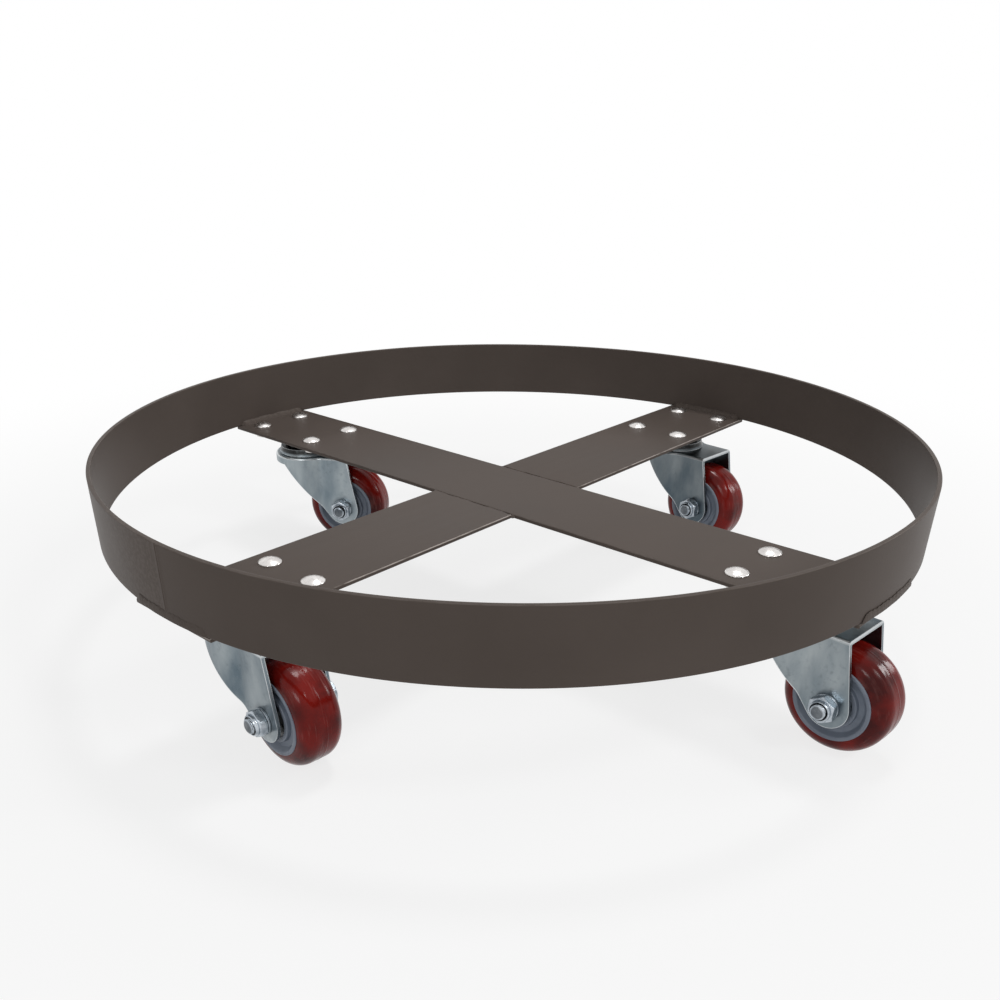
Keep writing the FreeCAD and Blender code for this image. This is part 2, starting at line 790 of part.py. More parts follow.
# Tread: polyurethane cast round the core, flat in the middle with full round shoulders
def make_tread(name):
    side = size("tread_width") / 2
    land_radius = core_rim_radius + size("tread_land")
    crown_side = side - (wheel_radius - land_radius)
    return turned_piece(
        name, "XY_Plane",
        [(core_rim_radius, -side), (land_radius, -side), (wheel_radius, -crown_side),
         (wheel_radius, crown_side), (land_radius, side), (core_rim_radius, side),
         (core_rim_radius, rib_side), (rib_radius, rib_side),
         (rib_radius, -rib_side), (core_rim_radius, -rib_side)],
        {1: ((land_radius, -crown_side), "left"), 3: ((land_radius, crown_side), "left")})


# Bearing rings: two outer rings pressed into the core, each closed outside by a thin shield
def make_bearing_rings(name):
    inner_radius = bearing_radius - size("bearing_wall")
    shield_radius = size("sleeve_diameter") / 2 + size("bearing_shield_clearance")
    shield_side = bearing_outer_side - size("bearing_shield")
    body = turned_piece(name, "XY_Plane", [
        (inner_radius, bearing_inner_side), (bearing_radius, bearing_inner_side),
        (bearing_radius, bearing_outer_side), (shield_radius, bearing_outer_side),
        (shield_radius, shield_side), (inner_radius, shield_side),
    ])
    ring = body.Tip
    cut_ball_tracks(body, f"{name}_track", "XY_Plane", [((bearing_pitch, bearing_row), bearing_track_radius)])
    add_mirror(body, [ring, body.Tip], f"{name}_pair")
    return body


# Bearing balls: one row in each ring, round the sleeve
def make_bearing_balls(name):
    radius = size("bearing_ball_diameter") / 2
    count = size("bearing_ball_count")
    balls = []
    for side in (-1, 1):
        for number in range(COUNTS["bearing_ball_count"]):
            angle = formula(360) / count * number
            balls.append(add_ball(f"{name}_{side + 1}_{number}", radius, bearing_pitch * cosine(angle),
                                  bearing_row * side, bearing_pitch * sine(angle)))
    return group(name, balls)


# The frame: hoop, cross, welds and the fasteners of the castors
long_angle = size("long_bar_angle")
quarter = formula(360) / size("castor_count")
subparts.append(make_hoop())
subparts.append(make_bar("long_bar", -bar_end, (-1, 1), long_angle))
subparts.append(make_bar("right_half_bar", bar_side, (1,), long_angle + quarter))
subparts.append(make_bar("left_half_bar", bar_side, (1,), long_angle - quarter))
subparts.append(make_weld_beads())
subparts.append(make_castor_bolts())
subparts.append(make_castor_nuts())

# The castors: every piece is made once, and the other castors repeat its shape
CORNERS = ["front_right", "back_right", "back_left", "front_left"]
PLATE_PIECES = {
    "plate": make_castor_plate,
}
SWIVEL_PIECES = {
    "king_pin": make_king_pin,
    "lower_cap": make_lower_cap,
    "fork": make_fork,
    "swivel_balls": make_swivel_balls,
}
WHEEL_PIECES = {
    "axle_bolt": make_axle_bolt,
    "axle_nut": make_axle_nut,
    "axle_washers": make_axle_washers,
    "axle_sleeve": make_axle_sleeve,
    "wheel_core": make_wheel_core,
    "tread": make_tread,
    "bearing_rings": make_bearing_rings,
    "bearing_balls": make_bearing_balls,
}
first_pieces = {}
for number, corner in enumerate(CORNERS):
    arm = long_angle + quarter * number
    swivel = size(f"{corner}_swivel")
    swivel_x = swivel_radius * cosine(arm)
    swivel_y = swivel_radius * sine(arm)
    wheel_x = swivel_x + size("castor_trail") * cosine(swivel)
    wheel_y = swivel_y + size("castor_trail") * sine(swivel)
    seats = [
        (PLATE_PIECES, (swivel_x, swivel_y, ZERO, arm)),
        (SWIVEL_PIECES, (swivel_x, swivel_y, ZERO, swivel)),
        (WHEEL_PIECES, (wheel_x, wheel_y, wheel_radius, swivel)),
    ]
    for makers, seat in seats:
        for piece_name, maker in makers.items():
            name = f"{corner}_{piece_name}"
            if piece_name in first_pieces:
                piece = clone(first_pieces[piece_name], name)
            else:
                piece = maker(name)
                first_pieces[piece_name] = piece
            place(piece, *seat)
            subparts.append(piece)

doc.recompute()

broken = [item.Name for item in doc.Objects if {"Invalid", "Error"} & set(item.State)]
unsound = [piece.Label for piece in subparts if piece.Shape.isNull() or not piece.Shape.isValid()]
if broken or unsound:
    raise RuntimeError(f"failed objects {broken}, unsound shapes {unsound}")

os.makedirs("parts", exist_ok=True)
for piece in subparts:
    piece.Shape.exportStep(f"parts/{piece.Label}.step")
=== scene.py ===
import json
import math

import bmesh
import bpy
import numpy as np
from mathutils import Matrix, Vector


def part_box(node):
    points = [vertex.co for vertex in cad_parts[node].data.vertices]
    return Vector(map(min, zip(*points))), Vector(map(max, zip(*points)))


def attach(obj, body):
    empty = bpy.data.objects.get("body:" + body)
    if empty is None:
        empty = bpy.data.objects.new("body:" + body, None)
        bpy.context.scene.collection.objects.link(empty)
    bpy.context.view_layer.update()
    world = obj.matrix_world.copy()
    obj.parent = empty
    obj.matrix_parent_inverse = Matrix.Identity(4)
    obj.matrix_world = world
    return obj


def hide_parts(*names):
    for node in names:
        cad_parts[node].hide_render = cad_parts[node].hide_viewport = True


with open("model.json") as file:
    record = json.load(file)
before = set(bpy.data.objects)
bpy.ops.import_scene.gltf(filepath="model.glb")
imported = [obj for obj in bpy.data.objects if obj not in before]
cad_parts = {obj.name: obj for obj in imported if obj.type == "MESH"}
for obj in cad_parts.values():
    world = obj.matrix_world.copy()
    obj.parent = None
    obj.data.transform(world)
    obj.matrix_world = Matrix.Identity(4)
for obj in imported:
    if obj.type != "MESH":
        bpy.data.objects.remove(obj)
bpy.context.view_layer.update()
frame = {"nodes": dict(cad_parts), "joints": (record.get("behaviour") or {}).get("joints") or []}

# The cross: one flat bar right across, and two half bars butted against its sides. Hot-rolled
# flat steel, sawn to length, with the mill's slightly rounded corners, painted after welding in
# a satin grey-brown, a little worn along all edges, with a painted highlight along the upper
# edges of the half bars' sides that face front right.
bar_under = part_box("long_bar")[0].z
bar_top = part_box("long_bar")[1].z
bar_middle = (bar_top + bar_under) / 2
bar_half_thickness = (bar_top - bar_under) / 2
bar_half_width = 0.040
bar_edge = 0.0007
bar_face_points = 40
corner_points = 5
corner_gap = 0.001
face_gap = 0.003
hoop_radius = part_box("hoop")[1].x
bar_reach = math.sqrt(hoop_radius ** 2 - bar_half_width ** 2)
butt_gap = 0.0007
butt_waver = 0.0004
saw_waves = 210
saw_ripples = 530
saw_ripple_share = 0.6
light_wear = 0.12
merge_distance = 1e-7
crease_angle = math.radians(40)
paint_dark = (0.094, 0.0760, 0.0660, 1)
paint_light = (0.112, 0.0910, 0.0795, 1)
paint_thin = (0.190, 0.160, 0.142, 1)
paint_worn_and_highlight = (0.48, 0.43, 0.40, 1)

joints = {joint["name"]: joint for joint in frame["joints"]}
corners = ["front_right", "back_right", "back_left", "front_left"]
up = np.array([0.0, 0.0, 1.0])
swivels = {corner: np.array(joints[f"{corner}_swivel"]["pos_m"]) * [1, 1, 0] for corner in corners}
arms = {corner: centre / np.linalg.norm(centre) for corner, centre in swivels.items()}


def rounded_edges(half_width, half_height, edge, face_points):
    """A rectangle's outline as centres and directions: a point lies at its centre plus an edge
    radius times its direction. Each corner is a quarter circle. Each wide face has one point close
    to either corner, and between these the given number, spaced as the sine of an even spread."""
    arc = np.linspace(0, math.pi / 2, corner_points)
    spread = np.sin(np.linspace(-1, 1, face_points + 2)[1:-1] * math.pi / 2)
    reach = half_width - edge
    near_corner = np.array([1 - corner_gap / reach])
    spread = np.concatenate([-near_corner, spread * (1 - face_gap / reach), near_corner])
    angle, x_share, y_share = [], [], []
    for quarter in range(4):
        angle.append(arc + quarter * math.pi / 2)
        x_share.append(np.full(corner_points, (1, -1, -1, 1)[quarter]))
        y_share.append(np.full(corner_points, (1, 1, -1, -1)[quarter]))
        if quarter % 2 == 0:
            angle.append(np.full(face_points + 2, (quarter + 1) * math.pi / 2))
            x_share.append(spread * (quarter - 1))
            y_share.append(np.full(face_points + 2, 1 - quarter))
    angle = np.concatenate(angle)
    x_centre = np.concatenate(x_share) * reach
    y_centre = np.concatenate(y_share) * (half_height - edge)
    return np.stack([x_centre, y_centre], 1), np.stack([np.cos(angle), np.sin(angle)], 1)


def flat_bar(start, end, along, waver):
    """A flat bar from start to end along a level direction: its rounded outline carried along,
    with the ends rounded over by the same quarter circle and closed flat. The start is sawn by
    hand, so it wanders by a sum of two sine waves across the width. Returns the sheet of points
    and the outline's directions."""
    centre, direction = rounded_edges(bar_half_width, bar_half_thickness, bar_edge, bar_face_points)
    arc = np.linspace(0, math.pi / 2, corner_points)
    setback = bar_edge * (1 - np.sin(arc))
    place = np.concatenate([[start], start + setback[::-1], end - setback, [end]])
    radius = np.concatenate([[0], np.cos(arc[::-1]), np.cos(arc), [0]]) * bar_edge
    width = np.concatenate([[0], np.ones(2 * corner_points), [0]])
    outline = width[:, None, None] * centre + radius[:, None, None] * direction
    ripples = saw_ripple_share * np.sin(outline[..., 0] * saw_ripples + 1)
    wander = waver * (np.sin(outline[..., 0] * saw_waves) + ripples)
    at_start = np.arange(len(place)) < len(place) / 2
    place = place[:, None] + at_start[:, None] * wander
    middle = np.array([0, 0, bar_middle])
    across = np.cross(up, along)
    sheet = middle + place[..., None] * along + outline[..., :1] * across + outline[..., 1:] * up
    return sheet, direction


def edge_marks(sheet_shape, direction, highlight_side=0):
    """How worn or lit each point is: nothing on the flat faces, a little wear on the quarter
    circles, and a full painted highlight on the upper quarter circle of the given side."""
    on_edge = 1 - np.abs(direction).max(1) > 1e-6
    highlight_edge = (direction[:, 0] * highlight_side > 0) & (direction[:, 1] > 0)
    wear_and_highlight = np.where(on_edge, np.where(highlight_edge, 1.0, light_wear), 0.0)
    return np.broadcast_to(wear_and_highlight, sheet_shape[:2]).ravel()


def new_piece(name, sheets, finish, marks=None):
    """A piece from sheets: grids of points, rows by columns, that close from the last column to
    the first, and in a ring sheet from the last row to the first too. Equal points are merged,
    which closes the poles, and marks are numbers or vectors that the finish reads at the points."""
    points, faces, count = [], [], 0
    for sheet, ring in sheets:
        rows, columns = sheet.shape[:2]
        row = np.arange(rows if ring else rows - 1)[:, None]
        column = np.arange(columns)[None, :]
        here, below = row * columns, (row + 1) % rows * columns
        beside = (column + 1) % columns
        quads = np.broadcast_arrays(here + column, here + beside, below + beside, below + column)
        faces.append(np.stack(quads, -1).reshape(-1, 4) + count)
        points.append(sheet.reshape(-1, 3))
        count += rows * columns
    mesh = bpy.data.meshes.new(name)
    mesh.from_pydata(np.concatenate(points), [], np.concatenate(faces))
    for mark, values in (marks or {}).items():
        kind, field = ("FLOAT", "value") if values.ndim == 1 else ("FLOAT_VECTOR", "vector")
        attribute = mesh.attributes.new(mark, kind, "POINT")
        attribute.data.foreach_set(field, values.astype(np.float32).ravel())
    shell = bmesh.new()
    shell.from_mesh(mesh)
    bmesh.ops.remove_doubles(shell, verts=shell.verts, dist=merge_distance)
    bmesh.ops.recalc_face_normals(shell, faces=shell.faces)
    shell.to_mesh(mesh)
    shell.free()
    mesh.shade_smooth()
    mesh.set_sharp_from_angle(angle=crease_angle)
    mesh.materials.append(finish)
    piece = bpy.data.objects.new(name, mesh)
    bpy.context.scene.collection.objects.link(piece)
    return piece


class Finish:
    """A procedural finish: one shader, and the noises, ramps and bumps that vary it."""

    def __init__(self, name, **constants):
        self.material = bpy.data.materials.new(name)
        self.material.use_nodes = True
        self.tree = self.material.node_tree
        self.shader = self.tree.nodes["Principled BSDF"]
        self.place = self.tree.nodes.new("ShaderNodeTexCoord").outputs["Object"]
        for socket, number in constants.items():
            self.shader.inputs[socket.replace("_", " ")].default_value = number

    def node(self, kind, settings=None, **inputs):
        """A node with its settings, whose inputs are numbers, colours or other nodes' outputs. An
        input is given by its name, or by its number after an underscore."""
        made = self.tree.nodes.new(kind)
        for key, setting in (settings or {}).items():
            setattr(made, key, setting)
        for socket, given in inputs.items():
            target = made.inputs[int(socket[1:]) if socket[1:].isdigit() else socket.replace("_", " ")]
            if isinstance(given, bpy.types.NodeSocket):
                self.tree.links.new(given, target)
            else:
                target.default_value = given
        return made

    def feed(self, socket, output):
        """An output that drives one of the shader's own sockets."""
        self.tree.links.new(output, self.shader.inputs[socket])

    def mark(self, name, output="Fac"):
        """A mark of the mesh's points, as a number or as a vector."""
        return self.node("ShaderNodeAttribute", {"attribute_name": name}).outputs[output]

    def height(self):
        """The height above the floor at rest."""
        return self.node("ShaderNodeSeparateXYZ", Vector=self.place).outputs["Z"]

    def noise(self, scale, detail, place=None, stretch=(1, 1, 1)):
        """Clouds of about 1 / scale metres across with finer detail, stretched along the axes."""
        place = self.place if place is None else place
        if stretch != (1, 1, 1):
            place = self.node("ShaderNodeMapping", Vector=place, Scale=stretch).outputs["Vector"]
        made = self.node("ShaderNodeTexNoise", Vector=place, Scale=scale, Detail=detail)
        return made.outputs["Fac"]

    def spread(self, factor, low, high, new_low=0.0, new_high=1.0):
        """A factor between low and high, spread out over a new range."""
        made = self.node("ShaderNodeMapRange", Value=factor, From_Min=low, From_Max=high,
                         To_Min=new_low, To_Max=new_high)
        return made.outputs["Result"]

    def product(self, first, second):
        """Two factors multiplied."""
        return self.node("ShaderNodeMath", {"operation": "MULTIPLY"}, _0=first, _1=second).outputs[0]

    def larger(self, first, second):
        """The larger of two factors."""
        return self.node("ShaderNodeMath", {"operation": "MAXIMUM"}, _0=first, _1=second).outputs[0]

    def blend(self, factor, first, second, strength=1.0):
        """The first colour, and over it the second by a factor times a strength."""
        if strength != 1:
            factor = self.product(factor, strength)
        made = self.node("ShaderNodeMix", {"data_type": "RGBA"}, _0=factor, _6=first, _7=second)
        return made.outputs[2]

    def roughness(self, cloud, low, high):
        """Roughness from low to high, in step with a cloud's middle range."""
        self.feed("Roughness", self.spread(cloud, 0.3, 0.7, low, high))

    def edges(self, radius, low, high):
        """1 along the edges, within a radius of them, and 0 on the faces: how far the normal of an
        edge rounded over by that radius turns away from the face's own."""
        rounded = self.node("ShaderNodeBevel", {"samples": 8}, Radius=radius).outputs["Normal"]
        own = self.node("ShaderNodeNewGeometry").outputs["True Normal"]
        near = self.node("ShaderNodeVectorMath", {"operation": "DOT_PRODUCT"}, _0=rounded, _1=own)
        return self.spread(near.outputs["Value"], 1 - low, 1 - high)

    def crevices(self, depth, low=0.85, high=0.35):
        """1 deep in corners and gaps of about a given depth, and 0 on open faces."""
        open_share = self.node("ShaderNodeAmbientOcclusion", {"samples": 8}, Distance=depth).outputs["AO"]
        return self.spread(open_share, low, high)

    def bump(self, heights, strength):
        """Bumps laid over each other: each a height factor and its depth in metres."""
        normal = None
        for height, depth in heights:
            made = self.node("ShaderNodeBump", Height=height, Distance=depth, Strength=strength)
            if normal is not None:
                self.tree.links.new(normal, made.inputs["Normal"])
            normal = made.outputs["Normal"]
        self.feed("Normal", normal)


frame_paint = Finish("frame_paint", IOR=1.5, Specular_IOR_Level=0.05)
paint_cloud = frame_paint.noise(9, 4)
paint_colour = frame_paint.blend(frame_paint.spread(paint_cloud, 0.3, 0.7), paint_dark, paint_light)
paint_speck = frame_paint.spread(frame_paint.noise(420, 2), 0.42, 0.62)
ground_speck = frame_paint.product(frame_paint.mark("ground"), paint_speck)
paint_colour = frame_paint.blend(ground_speck, paint_colour, paint_thin, strength=0.25)
# Edges a little worn, and a painted highlight on the half bars' front right edges, in patches.
wear_and_highlight_patches = frame_paint.spread(frame_paint.noise(60, 4), 0.3, 0.55)
edge_wear_and_highlight = frame_paint.product(frame_paint.mark("wear_and_highlight"), wear_and_highlight_patches)
paint_colour = frame_paint.blend(edge_wear_and_highlight, paint_colour, paint_worn_and_highlight, strength=0.9)
frame_paint.feed("Base Color", paint_colour)
frame_paint.roughness(paint_cloud, 0.36, 0.46)
sprayed_grain = frame_paint.noise(650, 2)
rolled_waves = frame_paint.noise(28, 2)
frame_paint.bump([(sprayed_grain, 0.00006), (rolled_waves, 0.0003)], 0.5)
bar_spans = {
    "long_bar": (-bar_reach, bar_reach, arms["front_right"], 0.0),
    "right_half_bar": (bar_half_width + butt_gap, bar_reach, arms["back_right"], butt_waver),
    "left_half_bar": (bar_half_width + butt_gap, bar_reach, arms["front_left"], butt_waver),
}
for node, (start, end, along, waver) in bar_spans.items():
    bar_sheet, bar_direction = flat_bar(start, end, along, waver)
    # The side facing front right gets the painted highlight.
    highlight_side = round(np.cross(up, along) @ arms["front_right"])
    marks = {"wear_and_highlight": edge_marks(bar_sheet.shape, bar_direction, highlight_side)}
    bar = new_piece(f"{node}_painted", [(bar_sheet, False)], frame_paint.material, marks)
    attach(bar, "frame")
    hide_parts(node)

# The hoop: flat strip rolled on edge into a ring, and butt welded in one seam over the front
# left bar. The seam is ground nearly flush, and the paint is speckled where the grinder ran out.
hoop_low, hoop_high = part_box("hoop")
hoop_half_height = (hoop_high.z - hoop_low.z) / 2
hoop_half_band = 0.0015
hoop_edge = 0.0006
hoop_face_points = 12
hoop_stations = 720
hoop_sway = 0.0002
hoop_waver = 0.00012
rim_level = 0.997
rim_wave = 0.003
seam_angle = math.radians(-135)
seam_reach = 0.006
seam_stations = 49
seam_ridge = 0.00028
seam_ridge_width = 0.0022
seam_groove = 0.00035
seam_groove_width = 0.0004
ground_start = 0.004
ground_length = 0.105
ground_fade = 0.05


def hoop_band():
    """The band's rounded outline carried round a circle whose radius and height wander inward by
    a fraction of a millimetre, in sine waves. Across the seam the faces rise in a low bell curve,
    with a fine groove along its middle. Returns the sheet, each station's distance from the seam
    and the outline's directions."""
    even = np.linspace(-math.pi, math.pi, hoop_stations, endpoint=False)
    fine = np.linspace(-seam_reach, seam_reach, seam_stations) / hoop_radius
    turn = np.unique(np.round(np.concatenate([even, fine]), 7))[:, None]
    centre, direction = rounded_edges(hoop_half_height, hoop_half_band, hoop_edge, hoop_face_points)
    outline = centre + hoop_edge * direction
    from_seam = turn * (hoop_radius - hoop_half_band)
    ridge = (seam_ridge * np.exp(-(from_seam / seam_ridge_width) ** 2)
             - seam_groove * np.exp(-(from_seam / seam_groove_width) ** 2))
    face = np.sign(outline[:, 1]) * (np.abs(direction[:, 1]) > 0.99)
    wander = hoop_sway * (np.sin(3 * turn + 1) - 1) + hoop_waver * (np.sin(8 * turn) - 1)
    radius = hoop_radius - hoop_half_band + outline[:, 1] + ridge * face + wander
    height = (hoop_low.z + hoop_high.z) / 2 + outline[:, 0] * (rim_level + rim_wave * np.sin(5 * turn))
    angle = seam_angle + turn
    sheet = np.stack(np.broadcast_arrays(radius * np.cos(angle), radius * np.sin(angle), height), -1)
    return sheet, from_seam, direction


hoop_sheet, from_seam, hoop_direction = hoop_band()
ground = np.clip(-from_seam / ground_start, 0, 1) * np.clip((ground_length + from_seam) / ground_fade, 0, 1)
hoop_marks = {
    "wear_and_highlight": edge_marks(hoop_sheet.shape, hoop_direction),
    "ground": np.broadcast_to(ground, hoop_sheet.shape[:2]).ravel(),
}
hoop = new_piece("hoop_painted", [(hoop_sheet, True)], frame_paint.material, hoop_marks)
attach(hoop, "frame")
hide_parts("hoop")

# The welds: a fillet inside the hoop on each bar, a thin run outside it, and a low run under
# each butt joint of the cross, with a small blob at each end of the joint. Wire welded, so all
# have small overlapping ripples, and painted.
fillet_leg = 0.004
outside_height = 0.0055
outside_crown = 0.0007
butt_run_half_width = 0.0035
butt_run_height = 0.0016
butt_end_leg = 0.0045
butt_end_top = bar_top - 0.0003
butt_end_stations = 30
weld_half_length = bar_half_width - 0.003
weld_stations = 260
weld_face_steps = 10
weld_sink = 0.0004
weld_taper = 0.004
weld_end_size = 0.25
weld_waves = [(0.05, 310), (0.03, 1170)]
ripple_length = 0.0021
ripple_depth = 0.11
ripple_bow = 0.35
ripple_drift = 0.3
ripple_drift_waves = 900


def weld_run(path, first, second, first_leg, second_leg, swing_end=math.pi / 2):
    """A run of weld along a path, in the corner between two directions, or with a swing of half a
    turn over a flat joint. Its face bulges half way from straight lines between the legs to an
    ellipse, swells in slow sine waves, and ripples like overlapping scales along the path. Both
    ends taper as a quarter sine, and the back is sunk into the steel."""
    steps = np.linalg.norm(np.diff(path, axis=0), axis=1)
    length = np.concatenate([[0], np.cumsum(steps)])[:, None]
    swing = np.linspace(0, swing_end, 1 + round(2 * weld_face_steps * swing_end / math.pi))
    bulge = 0.5 / (np.abs(np.cos(swing)) + np.sin(swing)) + 0.5
    drift = ripple_drift * np.sin(length * ripple_drift_waves)
    phase = length / ripple_length + ripple_bow * np.abs(np.sin(2 * swing)) + drift
    ripple = 1 - ripple_depth * (phase % 1) ** 2
    for share, waves in weld_waves:
        ripple = ripple + share * np.sin(length * waves)
    ends = np.sin(np.clip(np.minimum(length, length[-1] - length) / weld_taper, 0, 1) * math.pi / 2)
    size = (weld_end_size + (1 - weld_end_size) * ends) * bulge * ripple
    face = (path[:, None] + (size * first_leg * np.cos(swing))[..., None] * first[:, None]
            + (size * second_leg * np.sin(swing))[..., None] * second[:, None])
    back = (path - weld_sink * (first + second))[:, None]
    sheet = np.concatenate([face, back], 1)
    middle = np.broadcast_to(sheet.mean(1, keepdims=True), sheet.shape)
    return np.concatenate([middle[:1], sheet, middle[-1:]])


weld_runs = []
for arm in arms.values():
    across = np.cross(up, arm)
    sweep = np.linspace(-1, 1, weld_stations)[:, None] * math.asin(weld_half_length / hoop_radius)
    outward = np.cos(sweep) * arm + np.sin(sweep) * across
    upward = np.broadcast_to(up, outward.shape)
    inside = outward * (hoop_radius - 2 * hoop_half_band) + up * bar_top
    outside = outward * hoop_radius + up * bar_top
    weld_runs.append(weld_run(inside, -outward, upward, fillet_leg, fillet_leg))
    weld_runs.append(weld_run(outside, outward, upward, outside_crown, outside_height))
for corner in ("back_right", "front_left"):
    across = np.cross(up, arms[corner])
    run = np.linspace(-weld_half_length, weld_half_length, weld_stations)[:, None]
    joint_line = bar_half_width * arms[corner] + run * across + up * bar_under
    outward = np.broadcast_to(arms[corner], joint_line.shape)
    downward = np.broadcast_to(-up, joint_line.shape)
    weld_runs.append(weld_run(joint_line, outward, downward, butt_run_half_width, butt_run_height, math.pi))
    rise = np.linspace(bar_under, butt_end_top, butt_end_stations)[:, None]
    for side in (-1, 1):
        corner_line = bar_half_width * (arms[corner] + side * across) + rise * up
        along_half_bar = np.broadcast_to(arms[corner], corner_line.shape)
        along_long_bar = np.broadcast_to(side * across, corner_line.shape)
        weld_runs.append(weld_run(corner_line, along_half_bar, along_long_bar, butt_end_leg, butt_end_leg))
welds = new_piece("welds_painted", [(run, False) for run in weld_runs], frame_paint.material)
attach(welds, "frame")
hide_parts("weld_beads")

# Castor plates and forks: pressed from steel sheet, with round dishes that hold the ball races,
# and zinc plated with a bluish cast, each castor lighter or darker as painted light and shade.
# The plate is bolted flat under the end of a bar, and the fork hangs from it.
sheet_thickness = 0.0025
race_rise = 0.0058
fork_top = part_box("front_right_fork")[1].z - race_rise
plate_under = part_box("front_right_plate")[1].z - sheet_thickness
grease_and_shade_over_fork = (fork_top + 0.0008, fork_top + 0.0026)
grease_and_shade_under_plate = (plate_under - 0.0004, plate_under - 0.0020)
bend_highlight_start = (fork_top - 0.0026, fork_top - 0.0012)
bend_highlight_end = (fork_top, fork_top - 0.0003)
edge_highlight_radius = 0.0011
painted_shade_depth = 0.006
zinc_pale = (0.40, 0.44, 0.455, 1)
zinc_blue = (0.125, 0.165, 0.195, 1)
zinc_stain_and_shade = (0.075, 0.092, 0.105, 1)
zinc_highlight = (0.78, 0.81, 0.82, 1)
race_grease_and_shade = (0.030, 0.029, 0.028, 1)
zinc_painted_light_levels = {"front_right": 0.88, "back_right": 0.60, "back_left": 1.05, "front_left": 0.98}


def zinc_finish(name, painted_light_level):
    """Zinc plate in clouds of pale and blue, scaled by a painted light level, stained in specks,
    darkened in crevices as painted shade, greasy and darkened as painted shade between the fork's
    head and the plate, and lighter along the bends and edges as a painted highlight."""
    zinc = Finish(name, Metallic=1.0)
    cloud = zinc.noise(30, 6, stretch=(1, 1, 0.4))
    speck = zinc.noise(330, 4)
    # Each castor's colours are scaled by its own painted light level.
    pale, blue = ([channel * painted_light_level for channel in colour[:3]] + [1] for colour in (zinc_pale, zinc_blue))
    colour = zinc.blend(zinc.spread(cloud, 0.38, 0.66), blue, pale)
    stain = zinc.product(zinc.spread(speck, 0.52, 0.72), zinc.spread(zinc.noise(75, 3), 0.4, 0.65))
    colour = zinc.blend(stain, colour, zinc_stain_and_shade, strength=0.35)
    # Darker in crevices: painted shade.
    colour = zinc.blend(zinc.crevices(painted_shade_depth), colour, zinc_stain_and_shade, strength=0.8)
    height = zinc.height()
    # Between the fork's head and the plate: grease, and painted shade in the gap.
    race = zinc.product(zinc.spread(height, *grease_and_shade_over_fork), zinc.spread(height, *grease_and_shade_under_plate))
    grease_and_shade = zinc.product(race, zinc.spread(speck, 0.2, 0.5, 0.5, 0.95))
    colour = zinc.blend(grease_and_shade, colour, race_grease_and_shade)
    # Lighter along the bends and edges: painted highlight.
    bend_highlight = zinc.product(zinc.spread(height, *bend_highlight_start), zinc.spread(height, *bend_highlight_end))
    edge_and_bend_highlight = zinc.larger(zinc.edges(edge_highlight_radius, 0.01, 0.2), zinc.product(bend_highlight, 0.7))
    zinc.feed("Base Color", zinc.blend(edge_and_bend_highlight, colour, zinc_highlight, strength=0.92))
    zinc.roughness(cloud, 0.24, 0.38)
    zinc.bump([(zinc.noise(900, 2), 0.00003), (zinc.noise(55, 3), 0.0004)], 0.5)
    return zinc.material


for corner in corners:
    plating = zinc_finish(f"{corner}_zinc_plate", zinc_painted_light_levels[corner])
    for piece in ("plate", "fork"):
        frame["nodes"][f"{corner}_{piece}"].data.materials.clear()
        frame["nodes"][f"{corner}_{piece}"].data.materials.append(plating)

# Castor bolts: low round heads on top of the bars, four to a plate, cold headed and bright
# zinc plated. Only their tails, rolled with a fine thread, show below the nuts.
bolt_radius = 0.004
bolt_head_radius = 0.00825
bolt_head_height = 0.0034
bolt_rim = 0.0008
bolt_rim_round = 0.0003
bolt_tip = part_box("castor_bolts")[0].z
bolt_chamfer = 0.0006
bolt_thread_top = bolt_tip + 0.0042
bolt_pitch_along = 0.0365
bolt_pitch_across = 0.0225
bolt_columns = 32
thread_pitch = 0.00125
thread_depth = 0.0006
thread_steps = 8
bolt_thread = (bolt_tip + 0.0004, bolt_thread_top - 0.0002, thread_pitch, thread_depth)
bright_zinc_pale = (0.76, 0.735, 0.715, 1)
bright_zinc_dull = (0.60, 0.575, 0.56, 1)


def turned(profile, columns, centre, along, side, thread=None):
    """A profile of radius against height, turned about a line through centre. A thread adds a
    wave to the radius that climbs one pitch in a turn, between two heights and of a depth."""
    radius, height = np.asarray(profile, float).T[..., None]
    turn = np.linspace(0, 2 * math.pi, columns, endpoint=False)
    radius = np.broadcast_to(radius, (len(radius), columns))
    if thread is not None:
        low, high, pitch, depth = thread
        wave = np.abs(((height / pitch - turn / (2 * math.pi)) % 1) - 0.5) * 2
        radius = radius - depth * wave * ((height > low) & (height < high))
    other = np.cross(along, side)
    return (centre + height[..., None] * along
            + (radius * np.cos(turn))[..., None] * side + (radius * np.sin(turn))[..., None] * other)


def bolt_profile():
    """From the crown of the head down to the tip: a dome, a short rim rounded over, the plain
    shank, a stretch cut fine enough to carry the thread, and a chamfered end."""
    dome_height = bolt_head_height - bolt_rim
    dome_radius = (bolt_head_radius ** 2 + dome_height ** 2) / (2 * dome_height)
    swing = np.linspace(0, math.asin((bolt_head_radius - bolt_rim_round) / dome_radius), 10)
    crown = bar_top + bolt_head_height
    dome = np.stack([dome_radius * np.sin(swing), crown - dome_radius * (1 - np.cos(swing))], 1)
    rim = [(bolt_head_radius - 0.0001, bar_top + bolt_rim * 0.9),
           (bolt_head_radius, bar_top + bolt_rim * 0.6),
           (bolt_head_radius, bar_top), (bolt_radius, bar_top - 0.0001)]
    cut = np.arange(bolt_thread_top, bolt_tip + bolt_chamfer, -thread_pitch / thread_steps)
    shank = np.stack([np.full(len(cut), bolt_radius), cut], 1)
    end = [(bolt_radius - thread_depth, bolt_tip), (0, bolt_tip)]
    return np.concatenate([dome, rim, shank, end])


